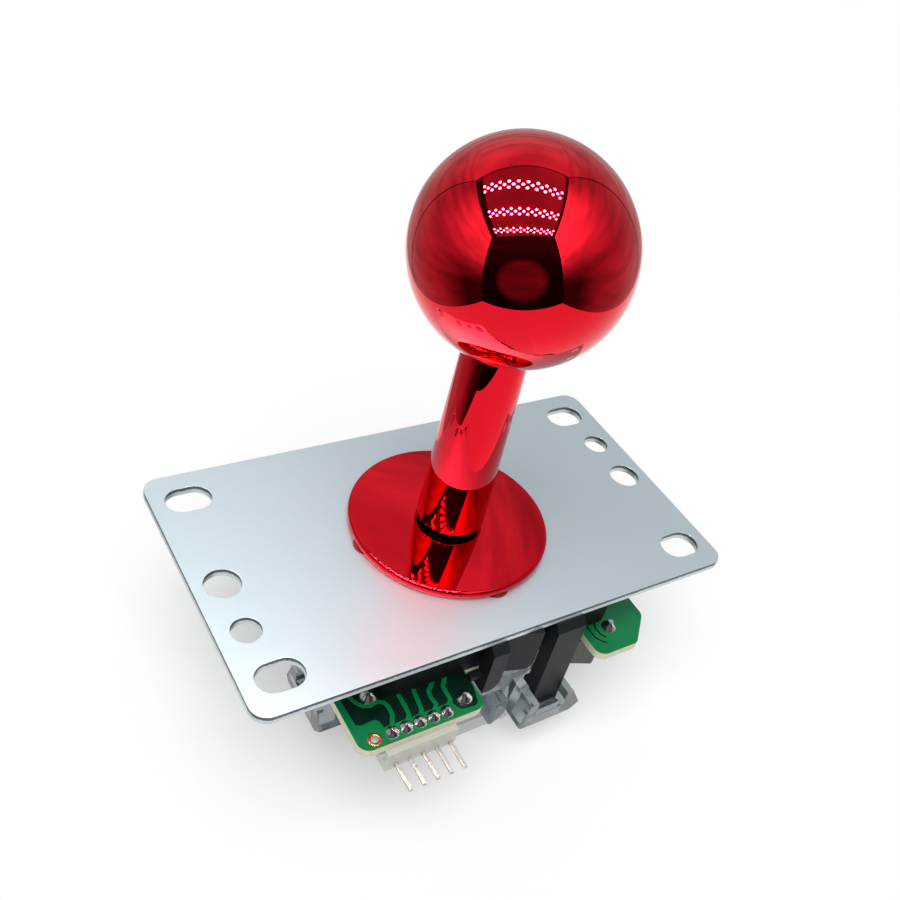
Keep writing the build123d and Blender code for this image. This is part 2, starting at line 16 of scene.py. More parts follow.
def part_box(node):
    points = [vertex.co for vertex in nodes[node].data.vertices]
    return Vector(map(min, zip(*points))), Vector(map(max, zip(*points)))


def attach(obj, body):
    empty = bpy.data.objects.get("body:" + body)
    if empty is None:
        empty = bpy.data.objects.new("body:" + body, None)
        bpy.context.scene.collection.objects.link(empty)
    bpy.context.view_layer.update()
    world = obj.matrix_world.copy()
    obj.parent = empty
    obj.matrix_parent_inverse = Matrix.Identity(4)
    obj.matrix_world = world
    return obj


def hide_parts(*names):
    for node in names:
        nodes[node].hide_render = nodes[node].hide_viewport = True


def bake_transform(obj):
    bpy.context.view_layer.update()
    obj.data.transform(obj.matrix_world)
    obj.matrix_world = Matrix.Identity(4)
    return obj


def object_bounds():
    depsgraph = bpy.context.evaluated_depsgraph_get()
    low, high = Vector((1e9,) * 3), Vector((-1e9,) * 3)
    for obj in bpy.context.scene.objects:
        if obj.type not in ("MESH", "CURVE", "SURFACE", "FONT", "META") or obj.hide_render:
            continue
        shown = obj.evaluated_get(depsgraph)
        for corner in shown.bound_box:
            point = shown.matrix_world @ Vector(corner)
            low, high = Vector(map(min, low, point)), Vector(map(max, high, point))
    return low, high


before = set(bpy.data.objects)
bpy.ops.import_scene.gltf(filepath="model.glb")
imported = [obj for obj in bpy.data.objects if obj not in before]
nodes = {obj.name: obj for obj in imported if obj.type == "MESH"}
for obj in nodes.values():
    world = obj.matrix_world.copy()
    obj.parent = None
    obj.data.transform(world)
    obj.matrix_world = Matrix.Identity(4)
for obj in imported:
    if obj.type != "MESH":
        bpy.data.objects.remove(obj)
cad_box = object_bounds()
MM = 0.001

# %% [markdown]
# ## The camera
#
# A photograph is taken from one place with one lens. The camera below was fitted to the plate's
# corners, slots and holes. Its place is in millimetres in the object's own frame, and its three
# directions are written out because the photograph is rolled a little. The small shift stands for
# the photograph's crop.

# %% Camera at the photograph's angle
to_the_right = Vector((0.82392, -0.51793, 0.23001))
upwards = Vector((0.19283, 0.63787, 0.74562))
backwards = Vector((-0.53289, -0.56998, 0.62542))
camera_place = Vector((-89.737, -104.121, 129.276)) * MM

camera = bpy.data.objects.new("camera", bpy.data.cameras.new("camera"))
bpy.context.scene.collection.objects.link(camera)
camera_axes = Matrix((to_the_right, upwards, backwards)).transposed().to_4x4()
camera.matrix_world = Matrix.Translation(camera_place) @ camera_axes
camera.data.lens = 41.156
camera.data.sensor_width = 36
camera.data.shift_x = -0.05645
camera.data.shift_y = 0.00394
camera.data.clip_start = 0.005
bpy.context.scene.camera = camera
print("camera at", [round(v * 1000) for v in camera.location], "mm")

# %% [markdown]
# ## Two small helpers
#
# Colours on screens are written as hex values in sRGB, and Blender's shaders want linear light, so
# one function turns one into the other. A second function adds a node with its settings and links,
# which keeps each material short enough to read as a recipe.

# %% Helpers for colours and nodes
def colour(hex_value):
    """A hex sRGB colour as linear RGBA."""
    parts = [int(hex_value[i : i + 2], 16) / 255 for i in (0, 2, 4)]
    return [p / 12.92 if p <= 0.04045 else ((p + 0.055) / 1.055) ** 2.4 for p in parts] + [1.0]


def add_node(tree, kind, inputs=None, **settings):
    """A new node with its settings, whose inputs are values or other nodes' outputs."""
    made = tree.nodes.new(kind)
    for name, value in settings.items():
        setattr(made, name, value)
    for socket, value in (inputs or {}).items():
        if isinstance(value, bpy.types.NodeSocket):
            tree.links.new(value, made.inputs[socket])
        else:
            made.inputs[socket].default_value = value
    return made


def new_material(name, **constants):
    """A material with its shader's constants set, its node tree, shader and Object coordinates."""
    made = bpy.data.materials.new(name)
    made.use_nodes = True
    tree = made.node_tree
    shader = tree.nodes["Principled BSDF"]
    for socket, value in constants.items():
        shader.inputs[socket.replace("_", " ")].default_value = value
    place = add_node(tree, "ShaderNodeTexCoord").outputs["Object"]
    return made, tree, shader, place


black, white = colour("000000"), colour("FFFFFF")
print("the hex colour C1111F is", [round(c, 3) for c in colour("C1111F")])

# %% [markdown]
# ## The floor
#
# The object stands on a white sheet. A white material under lamps is never quite white in a
# picture, so part of the floor's white is given to the rays that come straight from the camera or
# through clear plastic. The rest is a plain diffuse white that keeps the object's soft shadow.
# Mirrors don't see this sheet, because the light tent below has its own. The world behind it needs
# the same choice of rays, so a function makes it.

# %% Helper that tells which rays show the background
def background_rays(tree):
    """One for rays from the camera, mirrors and clear things, nought for light on the object."""
    rays = add_node(tree, "ShaderNodeLightPath").outputs
    shown = rays["Is Camera Ray"]
    for kind in ("Is Glossy Ray", "Is Transmission Ray"):
        shown = add_node(tree, "ShaderNodeMath", {0: shown, 1: rays[kind]}, operation="MAXIMUM").outputs[0]
    return shown


# %% White floor under the gate
floor_height = cad_box[0][2]
glowing_share = 0.38
bpy.ops.object.select_all(action="DESELECT")
bpy.ops.mesh.primitive_plane_add(size=3, location=(0, 0, floor_height))
floor = bpy.context.object
floor.name = "floor"
white_sheet, tree, shader, place = new_material("white_sheet", Base_Color=colour("FDFDFD"), Roughness=0.9)
share = {0: background_rays(tree), 1: glowing_share}
share = add_node(tree, "ShaderNodeMath", share, operation="MULTIPLY").outputs[0]
glow = add_node(tree, "ShaderNodeEmission", {"Color": white, "Strength": 1.0}).outputs[0]
mixed = add_node(tree, "ShaderNodeMixShader", {0: share, 1: shader.outputs[0], 2: glow})
tree.links.new(mixed.outputs[0], tree.nodes["Material Output"].inputs["Surface"])
floor.data.materials.append(white_sheet)
floor.visible_glossy = False
print("floor at", round(floor_height * 1000, 2), "mm")

# %% [markdown]
# ## The room's light
#
# Plain soft light comes from a white world and from one wide sun above, a little in front and to
# the left. Together they light an upward white surface to about full white, so that a colour
# renders about as it is written. The sun doesn't show in mirrors: the next step gives the mirrors
# something better to look at.

# %% World and one wide soft sun
room_light, shown_white = 0.38, 1.0
towards_sun = Vector((-0.3, -0.28, 1.0))
world = bpy.data.worlds.new("soft_white_room")
bpy.context.scene.world = world
world.use_nodes = True
tree = world.node_tree
strength = {"Value": background_rays(tree), "To Min": room_light, "To Max": shown_white}
strength = add_node(tree, "ShaderNodeMapRange", strength)
background = tree.nodes["Background"]
background.inputs["Color"].default_value = white
tree.links.new(strength.outputs[0], background.inputs["Strength"])

sun = bpy.data.objects.new("soft_sun", bpy.data.lights.new("soft_sun", "SUN"))
bpy.context.scene.collection.objects.link(sun)
sun.data.energy = 2.2
sun.data.angle = math.radians(50)
sun.rotation_euler = towards_sun.to_track_quat("Z", "Y").to_euler()
sun.visible_glossy = False
print("sun", sun.data.energy, "spread over", round(math.degrees(sun.data.angle)), "degrees")

# %% [markdown]
# ## The light tent that the mirrors see
#
# Small shiny things are photographed in a tent of white cloth, with bars of small lamps under its
# roof and a dark opening for the camera. The ball shows all of it, so a mirror looks wrong without
# one. This tent is a box with a glowing material that only mirrors see: it lights nothing and is
# hidden from the camera. Its size was measured from the ball's reflections, in roof heights of 184
# mm above the ball's middle.

# %% Helpers for working on a mesh
def start_edit():
    """Opens the active object's mesh with nothing selected."""
    bpy.ops.object.mode_set(mode="EDIT")
    bpy.ops.mesh.select_mode(type="FACE")
    bpy.ops.mesh.select_all(action="DESELECT")


def pick(test, kind="faces"):
    """Selects the faces or edges of the open mesh that a test accepts."""
    bpy.ops.object.mode_set(mode="OBJECT")
    mesh = bpy.context.object.data
    for part in mesh.vertices[:] + mesh.edges[:] + mesh.polygons[:]:
        part.select = False
    for part in mesh.polygons if kind == "faces" else mesh.edges:
        part.select = bool(test(mesh, part))
    bpy.ops.object.mode_set(mode="EDIT")
    bpy.ops.mesh.select_mode(type="FACE" if kind == "faces" else "EDGE")


# %% Light tent's size and place, in roof heights
roof_height, ball_middle = 184 * MM, 57 * MM
tent_right = Vector((0.824, -0.518, 0.230)).normalized()
tent_up = Vector((-0.185, 0.137, 0.973)).normalized()
tent_front = tent_up.cross(tent_right).normalized() * -1
tent_right = tent_front.cross(tent_up).normalized()
tent_left_wall, tent_right_wall = -0.65, 0.74
tent_back, tent_opening, tent_low = -1.5, 1.1, -0.52
front_widening, back_narrowing = 1.14, 0.85
seam_place, seam_slope, seam_half_width = -0.49, 0.14, 0.012
tent_axes = Matrix((tent_right, tent_front, tent_up)).transposed().to_4x4()
tent_place = Matrix.Translation((0, 0, ball_middle)) @ tent_axes @ Matrix.Scale(roof_height, 4)


def put_in_tent(piece):
    """Sets a piece in the tent's own axes and lets only mirrors see it."""
    piece.matrix_world = tent_place
    for sight in ("visible_camera", "visible_diffuse", "visible_shadow", "visible_transmission"):
        setattr(piece, sight, False)


print("tent front direction", [round(v, 3) for v in tent_front])

# %% Light tent as a box
bpy.ops.object.select_all(action="DESELECT")
bpy.ops.mesh.primitive_cube_add(size=1, location=(0, 0, 0))
tent = bpy.context.object
tent.name = "light_tent"
bpy.ops.object.mode_set(mode="EDIT")
bpy.ops.mesh.select_all(action="SELECT")
tent_width, tent_depth = tent_right_wall - tent_left_wall, tent_opening - tent_back
bpy.ops.transform.resize(value=(tent_width, tent_depth, 1 - tent_low))
bpy.ops.transform.translate(
    value=((tent_left_wall + tent_right_wall) / 2, (tent_back + tent_opening) / 2, (tent_low + 1) / 2)
)
pick(lambda mesh, face: face.normal.y > 0.5)
bpy.ops.transform.resize(value=(front_widening, 1, 1), center_override=(0, 0, 0))
pick(lambda mesh, face: face.normal.y < -0.5)
bpy.ops.transform.resize(value=(back_narrowing, 1, 1), center_override=(0, 0, 0))
bpy.ops.mesh.select_all(action="SELECT")
bpy.ops.mesh.subdivide(number_cuts=59)
for side in (-seam_half_width, seam_half_width):
    bpy.ops.mesh.select_all(action="SELECT")
    bpy.ops.mesh.bisect(plane_co=(0, seam_place + side, 0), plane_no=(0, 1, -seam_slope))
bpy.ops.object.mode_set(mode="OBJECT")
put_in_tent(tent)
print("tent squares:", len(tent.data.polygons))

# %% [markdown]
# ## How bright the tent's cloth is
#
# The cloth is brightest near the opening and dark in its lower front corners. Behind the ball hangs
# a second sheet, which meets the walls in a thin dark seam. Each corner of the box's small squares
# gets a brightness, which the material reads and breaks up into soft folds.

# %% Brightness at a place on the cloth
opening_glow, lintel_glow, disc_glow = 0.008, 0.03, 0.13
seam_glow, sheet_glow, sheet_top_glow = 0.1, 0.5, 0.24
roof_glow, wall_glow, left_wall_glow, right_wall_glow = 0.36, 0.45, 1.5, 0.85


def ease(value, low, high):
    """A smooth step from nought at low to one at high."""
    share = min(max((value - low) / (high - low), 0.0), 1.0)
    return share * share * (3 - 2 * share)


def cloth_brightness(normal, seam, x, y, z):
    """How brightly the cloth glows at a place, where seam is how far in front of the seam it is."""
    # the dark front wall, with the bright disc that the opening shows
    if normal.y > 0.5:
        disc = 1 - ease(math.hypot(x - 0.05, 1.2 * z - 0.06), 0.34, 0.52)
        return lintel_glow * ease(z, 0.1, 0.8) + opening_glow + disc_glow * disc
    # the seam, and the second sheet behind it
    if abs(seam) < seam_half_width:
        return seam_glow
    if seam < 0:
        return sheet_glow + sheet_top_glow * ease(z, 0.5, 1.0)
    # the roof, dark along its sides
    if normal.z > 0.5:
        return roof_glow * (1 - 0.9 * ease(abs(x) / (0.98 + 0.11 * y), 0.59, 0.64))
    # the side walls, brightest near the roof and dark in their lower front corners
    side = left_wall_glow if x < 0 else right_wall_glow
    glow = wall_glow + side * ease(y, -0.3, 0.35) * ease(z, 0.0, 0.75)
    return glow * (1 - 0.92 * ease(y, -0.1, 0.7) * (1 - ease(z, -0.15, 0.35)))


# %% A brightness for every corner of the tent's squares
glow = tent.data.attributes.new("glow", "FLOAT", "CORNER")
for square in tent.data.polygons:
    seam = square.center.y - seam_place - seam_slope * square.center.z
    for corner in square.loop_indices:
        corner_place = tent.data.vertices[tent.data.loops[corner].vertex_index].co
        glow.data[corner].value = cloth_brightness(square.normal, seam, *corner_place)
print("brightest cloth", round(max(value.value for value in glow.data), 2))

# %% Material: glowing tent cloth with soft folds
fold_contrast, fold_level = 1.3, 0.35
tent_cloth, tree, shader, place = new_material("tent_cloth")
tree.nodes.remove(shader)
hanging = {"Vector": place, "Rotation": (0.5, 0.0, 0.0), "Scale": (1.0, 1.3, 5.0)}
hanging = add_node(tree, "ShaderNodeMapping", hanging).outputs[0]
folds = add_node(tree, "ShaderNodeTexNoise", {"Vector": hanging, "Scale": 1.5, "Detail": 2.0}).outputs[0]
folds = {0: folds, 1: fold_contrast, 2: fold_level}
folds = add_node(tree, "ShaderNodeMath", folds, operation="MULTIPLY_ADD").outputs[0]
cloth = add_node(tree, "ShaderNodeAttribute", attribute_name="glow").outputs["Fac"]
cloth = add_node(tree, "ShaderNodeMath", {0: cloth, 1: folds}, operation="MULTIPLY").outputs[0]
glow = add_node(tree, "ShaderNodeEmission", {"Color": white, "Strength": cloth})
tree.links.new(glow.outputs[0], tree.nodes["Material Output"].inputs["Surface"])
print(tent_cloth.name, "has", len(tree.nodes), "nodes")

# %% Material: white card on the tent's floor
white_card = new_material(
    "white_card_under_the_object", Base_Color=black, Emission_Color=white, Emission_Strength=1.0,
)[0]
tent.data.materials.append(tent_cloth)
tent.data.materials.append(white_card)
for square in tent.data.polygons:
    square.material_index = 1 if square.normal.z < -0.5 else 0
print("squares of the card:", sum(square.material_index for square in tent.data.polygons))

# %% Three bars of small round lamps under the roof
lamp_glow = new_material(
    "lamp_glow", Base_Color=black, Emission_Color=(1, 0.98, 0.96, 1), Emission_Strength=130.0,
)[0]
lamps_in_row, row_distance, lamp_radius = 10, 0.055, 0.023
bar_shift, bar_height = 0.02, 0.996
for bar_place, spacing, turn in ((0.02, 0.127, -8), (0.5, 0.135, -4), (0.93, 0.143, -3)):
    bar_turn = Matrix.Rotation(math.radians(turn), 4, "Z")
    bar_matrix = Matrix.Translation((bar_shift, bar_place, bar_height)) @ bar_turn
    for across, shifted in ((-row_distance, 0), (0, 1), (row_distance, 0)):
        bpy.ops.object.select_all(action="DESELECT")
        first_lamp = (shifted / 2 - (lamps_in_row - 1) / 2) * spacing
        bpy.ops.mesh.primitive_circle_add(vertices=12, radius=lamp_radius, fill_type="NGON",
                                          location=(first_lamp, across, 0))
        bpy.ops.object.transform_apply(location=True)
        row = bpy.context.object
        row.name = "lamp_row"
        array = row.modifiers.new("array", "ARRAY")
        array.use_relative_offset = False
        array.use_constant_offset = True
        array.constant_offset_displace = (spacing, 0, 0)
        array.count = lamps_in_row - shifted
        bpy.ops.object.modifier_apply(modifier=array.name)
        row.data.transform(bar_matrix)
        row.data.materials.append(lamp_glow)
        put_in_tent(row)

# %% [markdown]
# ## Red mirror finish
#
# The ball, the sleeve and the loose washer are plastic, plated with metal in a vacuum and covered
# with a red lacquer. The light goes through the lacquer twice, so even white cloth looks deep red
# in the mirror and only the small lamps are bright enough to stay white. A smooth metal with a pure
# red does the same. A noise's scale counts its cells in a metre, so 0.06 / MM is one cell in 17 mm,
# about as wide as the smears that a wiping cloth leaves.

# %% Material: red lacquer over vacuum plating
red_mirror, tree, shader, place = new_material(
    "red_lacquered_plating", Base_Color=colour("E01A2A"), Metallic=1.0,
)
wipe = {"Vector": place, "Scale": 0.06 / MM, "Detail": 3.0}
wipe = add_node(tree, "ShaderNodeTexNoise", wipe).outputs[0]
dull = add_node(tree, "ShaderNodeMapRange", {"Value": wipe, "To Min": 0.0, "To Max": 0.03}).outputs[0]
tree.links.new(dull, shader.inputs["Roughness"])
print(red_mirror.name, "has", len(tree.nodes), "nodes")

# %% [markdown]
# ## Zinc-plated steel
#
# The plate is cut from rolled sheet and zinc plated. Rolling leaves fine lines along the sheet, and
# the plating has a soft bluish shine. The lines are drawn as noise stretched along the plate, 17 mm
# long and 0.4 mm apart, which is coarser than real ones so that they show.

# %% Material: zinc-plated steel
zinc_steel, tree, shader, place = new_material("zinc_plated_steel", Metallic=0.7)
stretched = {"Vector": place, "Scale": (0.06 / MM, 2.5 / MM, 2.5 / MM)}
stretched = add_node(tree, "ShaderNodeMapping", stretched).outputs[0]
lines = add_node(tree, "ShaderNodeTexNoise", {"Vector": stretched, "Scale": 1.0, "Detail": 3.0}).outputs[0]
rough = add_node(tree, "ShaderNodeMapRange", {"Value": lines, "To Min": 0.36, "To Max": 0.46}).outputs[0]
tree.links.new(rough, shader.inputs["Roughness"])
bump = add_node(tree, "ShaderNodeBump", {"Strength": 0.06, "Distance": 0.03 * MM, "Height": lines})
tree.links.new(bump.outputs[0], shader.inputs["Normal"])
print(zinc_steel.name, "has", len(tree.nodes), "nodes so far")

# %% [markdown]
# ## The plate's punched edge
#
# A punch shears the lower part of the sheet, which it burnishes, and then tears the rest. The cut is
# drawn dark and rough above and bright below, with nicks half a millimetre wide where one turns into
# the other. The dark upper part is partly the duller torn steel and partly painted shade on the upright
# faces, and the bright lower band is partly the burnish and partly a painted highlight. The surface's
# direction tells the cut from the faces.

# %% The plate's punched edge on the same material
# below this height the cut is drawn bright: partly burnish, partly a painted highlight
nick_depth, burnish_and_painted_highlight_below = 0.5 * MM, -0.45 * MM
normal = add_node(tree, "ShaderNodeNewGeometry").outputs["Normal"]
facing = add_node(tree, "ShaderNodeSeparateXYZ", {0: normal}).outputs
steep = add_node(tree, "ShaderNodeMath", {0: facing["Z"]}, operation="ABSOLUTE").outputs[0]
steep = add_node(tree, "ShaderNodeMath", {0: steep, 1: 0.35}, operation="LESS_THAN").outputs[0]
height = add_node(tree, "ShaderNodeSeparateXYZ", {0: place}).outputs["Z"]
upright = {"Vector": place, "Scale": (3 / MM, 3 / MM, 0.2 / MM)}
upright = add_node(tree, "ShaderNodeMapping", upright).outputs[0]
nicks = add_node(tree, "ShaderNodeTexNoise", {"Vector": upright, "Scale": 0.6, "Detail": 2.0}).outputs[0]
ragged = {0: nicks, 1: nick_depth, 2: height}
ragged = add_node(tree, "ShaderNodeMath", ragged, operation="MULTIPLY_ADD").outputs[0]
burnish_and_painted_highlight = {0: ragged, 1: burnish_and_painted_highlight_below}
burnish_and_painted_highlight = add_node(tree, "ShaderNodeMath", burnish_and_painted_highlight, operation="LESS_THAN").outputs[0]
# painted shade on the cut's upper part and a painted highlight band on its lower part
cut = {"Factor": burnish_and_painted_highlight, "A": colour("565F64"), "B": colour("C6D0D4")}
cut = add_node(tree, "ShaderNodeMix", cut, data_type="RGBA").outputs["Result"]
tint = {"Vector": place, "Scale": 0.025 / MM, "Detail": 1.0}
tint = add_node(tree, "ShaderNodeTexNoise", tint).outputs[0]
sheet = {"Factor": tint, "A": colour("C0D0D7"), "B": colour("C9D7DE")}
sheet = add_node(tree, "ShaderNodeMix", sheet, data_type="RGBA").outputs["Result"]
both = add_node(tree, "ShaderNodeMix", {"Factor": steep, "A": sheet, "B": cut}, data_type="RGBA")
tree.links.new(both.outputs["Result"], shader.inputs["Base Color"])
print(zinc_steel.name, "has", len(tree.nodes), "nodes")

# %% [markdown]
# ## Black nylon
#
# The housing is moulded from black nylon. The mould is spark eroded, which leaves a fine grain that
# spreads the light, so the plastic looks dark grey and satin where it faces the light. The grain is
# drawn 0.2 mm wide, about twice the real one, so that it shows.

# %% Material: moulded black nylon
black_nylon, tree, shader, place = new_material(
    "moulded_black_nylon", Base_Color=colour("101418"), IOR=1.4, Specular_IOR_Level=0.3,
)
grain = {"Vector": place, "Scale": 5 / MM, "Detail": 2.0}
grain = add_node(tree, "ShaderNodeTexNoise", grain).outputs[0]
rough = add_node(tree, "ShaderNodeMapRange", {"Value": grain, "To Min": 0.42, "To Max": 0.58}).outputs[0]
tree.links.new(rough, shader.inputs["Roughness"])
bump = add_node(tree, "ShaderNodeBump", {"Strength": 0.25, "Distance": 0.03 * MM, "Height": grain})
tree.links.new(bump.outputs[0], shader.inputs["Normal"])
print(black_nylon.name, "has", len(tree.nodes), "nodes")

# %% [markdown]
# ## The green board
#
# A circuit board is glass cloth in resin, with copper on it and a green lacquer over both. The
# lacquer is lighter over copper and darker over bare board, and the bare board's near-black green is
# also painted shade from the plate above it. The sawn edge stays cream. The lacquer is mottled every
# 2.5 mm or so, and the cut ends of the glass bundles are 0.7 mm apart.

# %% Materials: green solder mask over copper, and over bare board
def solder_mask(name, darker, lighter):
    """Green lacquer on the faces and sawn glass cloth on the edges."""
    made, tree, shader, place = new_material(name, IOR=1.4)
    mottle = {"Vector": place, "Scale": 0.4 / MM, "Detail": 2.0}
    mottle = add_node(tree, "ShaderNodeTexNoise", mottle).outputs[0]
    mask = {"Factor": mottle, "A": colour(darker), "B": colour(lighter)}
    mask = add_node(tree, "ShaderNodeMix", mask, data_type="RGBA").outputs["Result"]
    fibres = {"Vector": place, "Scale": 1.5 / MM, "Detail": 2.0}
    fibres = add_node(tree, "ShaderNodeTexNoise", fibres).outputs[0]
    sawn = {"Factor": fibres, "A": colour("B9B795"), "B": colour("E2E0C8")}
    sawn = add_node(tree, "ShaderNodeMix", sawn, data_type="RGBA").outputs["Result"]
    normal = add_node(tree, "ShaderNodeNewGeometry").outputs["Normal"]
    facing = add_node(tree, "ShaderNodeSeparateXYZ", {0: normal}).outputs
    flat = add_node(tree, "ShaderNodeMath", {0: facing["Z"]}, operation="ABSOLUTE").outputs[0]
    flat = add_node(tree, "ShaderNodeMath", {0: flat, 1: 0.5}, operation="GREATER_THAN").outputs[0]
    surface = add_node(tree, "ShaderNodeMix", {"Factor": flat, "A": sawn, "B": mask}, data_type="RGBA")
    tree.links.new(surface.outputs["Result"], shader.inputs["Base Color"])
    rough = add_node(tree, "ShaderNodeMapRange", {"Value": flat, "To Min": 0.6, "To Max": 0.25}).outputs[0]
    tree.links.new(rough, shader.inputs["Roughness"])
    bump = add_node(tree, "ShaderNodeBump", {"Strength": 0.2, "Distance": 0.03 * MM, "Height": mottle})
    tree.links.new(bump.outputs[0], shader.inputs["Normal"])
    return made


green_board = solder_mask("green_mask_over_copper", "00703F", "008046")
# over bare board the green is near black: its own darker lacquer plus painted shade from the plate
bare_board_painted_shade = solder_mask("green_mask_over_bare_board_with_painted_shade", "011A10", "02291A")
print(green_board.name, "has", len(green_board.node_tree.nodes), "nodes")

# %% [markdown]
# ## Solder, tin and other bright metals
#
# Solder freezes with a smooth bright skin, the pins are tinned, and the screws have a warm plating.
# All are metals with a low roughness that varies a little, so one short function makes them. Their
# marks are drawn a millimetre or more wide, so that they show.

# %% Materials: bright metals
def bright_metal(name, hex_value, low, high, marks_in_mm, depth_in_mm):
    """A metal whose roughness goes from low to high with its marks, and a slight bump."""
    made, tree, shader, place = new_material(name, Base_Color=colour(hex_value), Metallic=1.0)
    marks = {"Vector": place, "Scale": marks_in_mm / MM, "Detail": 3.0}
    marks = add_node(tree, "ShaderNodeTexNoise", marks).outputs[0]
    rough = add_node(tree, "ShaderNodeMapRange", {"Value": marks, "To Min": low, "To Max": high}).outputs[0]
    tree.links.new(rough, shader.inputs["Roughness"])
    bump = {"Strength": 0.3, "Distance": depth_in_mm * MM, "Height": marks}
    bump = add_node(tree, "ShaderNodeBump", bump)
    tree.links.new(bump.outputs[0], shader.inputs["Normal"])
    return made


# solder freezes smooth but dimpled, and tin is wiped thin and dull
solder = bright_metal("bright_solder", "DADAD6", 0.08, 0.2, 0.9, 0.04)
tinned = bright_metal("tinned_brass_pins", "B9B3AE", 0.25, 0.32, 0.7, 0.003)
# the screws' plating is yellowish, and the shaft's turned steel is darkened as painted shade for the
# shaded gap under the sleeve
screw_steel = bright_metal("warm_zinc_plating", "C8BC98", 0.2, 0.3, 0.7, 0.01)
steel_with_painted_shade = bright_metal("steel_darkened_as_painted_shade", "4A4A4E", 0.3, 0.4, 0.6, 0.01)
# drawn wire and rolled strip are bright and smooth, and turned brass is yellow
spring_steel = bright_metal("drawn_spring_steel", "A9A9AB", 0.25, 0.35, 0.6, 0.01)
leaf_steel = bright_metal("rolled_leaf_steel", "C8C8C4", 0.2, 0.32, 0.6, 0.01)
brass = bright_metal("turned_brass", "D4B060", 0.18, 0.28, 0.6, 0.01)
print("nodes in a bright metal:", len(brass.node_tree.nodes))

# %% [markdown]
# ## The other plastics
#
# Off-white nylon for the header, white and black acetal for the ball joint and the cup, and dark
# and red mouldings for the switches: all are dyed plastics whose gloss depends on how well the
# mould was polished. The header's off-white is drawn greyer, as painted shade for its shaded front.
# Their grain is drawn 0.4 mm wide, which is coarse enough to show.

# %% Materials: moulded plastics
def moulded_plastic(name, hex_value, low, high, ior):
    """A dyed plastic whose roughness varies with a fine grain."""
    made, tree, shader, place = new_material(name, Base_Color=colour(hex_value), IOR=ior)
    grain = {"Vector": place, "Scale": 2.5 / MM, "Detail": 2.0}
    grain = add_node(tree, "ShaderNodeTexNoise", grain).outputs[0]
    rough = add_node(tree, "ShaderNodeMapRange", {"Value": grain, "To Min": low, "To Max": high}).outputs[0]
    tree.links.new(rough, shader.inputs["Roughness"])
    bump = add_node(tree, "ShaderNodeBump", {"Strength": 0.15, "Distance": 0.02 * MM, "Height": grain})
    tree.links.new(bump.outputs[0], shader.inputs["Normal"])
    return made


# nylon and the switches' polyester are satin, and acetal is smooth and waxy
# the header's off-white is drawn greyer as painted shade for its shaded front
header_nylon_with_painted_shade = moulded_plastic("off_white_header_nylon_greyed_as_painted_shade", "BDBDB4", 0.35, 0.5, 1.53)
white_acetal = moulded_plastic("natural_acetal", "EEEDE6", 0.25, 0.4, 1.48)
black_acetal = moulded_plastic("black_acetal", "1E1F21", 0.2, 0.35, 1.48)
switch_plastic = moulded_plastic("dark_switch_plastic", "3A3E38", 0.35, 0.5, 1.55)
button_plastic = moulded_plastic("red_button_plastic", "A8332C", 0.25, 0.4, 1.5)
print("nodes in a moulded plastic:", len(header_nylon_with_painted_shade.node_tree.nodes))

# %% [markdown]
# ## Clear plastic
#
# The gate is moulded from clear polycarbonate: light passes through and bends. Its even grey tint is
# partly its own and partly painted shade for the dim things seen through it. Flow marks a few
# millimetres wide make it a little cloudy here and there.

# %% Material: clear polycarbonate
# the grey tint is partly painted shade for the dim things seen through the gate
clear_plastic_with_painted_shade, tree, shader, place = new_material(
    "clear_polycarbonate_greyed_as_painted_shade", Base_Color=colour("B6BEC1"), IOR=1.5, Transmission_Weight=0.9,
)
marks = {"Vector": place, "Scale": 0.3 / MM, "Detail": 2.0}
marks = add_node(tree, "ShaderNodeTexNoise", marks).outputs[0]
rough = add_node(tree, "ShaderNodeMapRange", {"Value": marks, "To Min": 0.06, "To Max": 0.16}).outputs[0]
tree.links.new(rough, shader.inputs["Roughness"])
print(clear_plastic_with_painted_shade.name, "has", len(tree.nodes), "nodes")

# %% [markdown]
# ## A finish for every CAD node
#
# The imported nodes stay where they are, and only their material changes.

# %% Materials on the CAD nodes
finishes = {
    "mounting_plate": zinc_steel, "plate_screws": screw_steel, "housing": black_nylon,
    "circuit_board": green_board, "solder_joints": solder, "header_base": header_nylon_with_painted_shade,
    "header_pins": tinned, "restrictor_gate": clear_plastic_with_painted_shade, "spring_washer": screw_steel,
    "centering_spring": spring_steel, "pivot_ball": white_acetal, "actuator": black_acetal,
    "shaft": steel_with_painted_shade, "upper_ring": spring_steel, "lower_ring": spring_steel,
    "ball_insert": brass, "dust_washer": red_mirror, "shaft_cover": red_mirror, "ball_top": red_mirror,
}
for number in range(1, 5):
    finishes[f"switch_case_{number}"] = switch_plastic
    finishes[f"switch_plunger_{number}"] = button_plastic
    finishes[f"switch_terminals_{number}"] = tinned
    finishes[f"switch_leaf_{number}"] = leaf_steel
for name, finish in finishes.items():
    nodes[name].data.materials.clear()
    nodes[name].data.materials.append(finish)
print("nodes with a finish:", len(finishes), "of", len(nodes))

# %% [markdown]
# ## Making a new piece
#
# Each piece below starts from a primitive at its real size and place. Its place is then moved into
# its mesh, so that patterns on Object coordinates stay still, and its flat faces keep flat normals
# next to rounded edges, which a mirror needs.

# %% Helpers for finishing a new piece
def finish_piece(name, body, finish, replaced=None):
    """Puts the piece's place into its mesh, names it, gives it its finish, sets it on its body and hides
    what it replaces.
    """
    piece = bpy.context.object
    bpy.ops.object.transform_apply(location=True, rotation=True, scale=True)
    bpy.ops.object.shade_smooth_by_angle(angle=math.radians(30))
    piece.name = name
    piece.data.name = name
    piece.data.materials.clear()
    piece.data.materials.append(finish)
    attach(piece, body)
    if replaced:
        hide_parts(replaced)
    print(name, "has", len(piece.data.polygons), "faces")


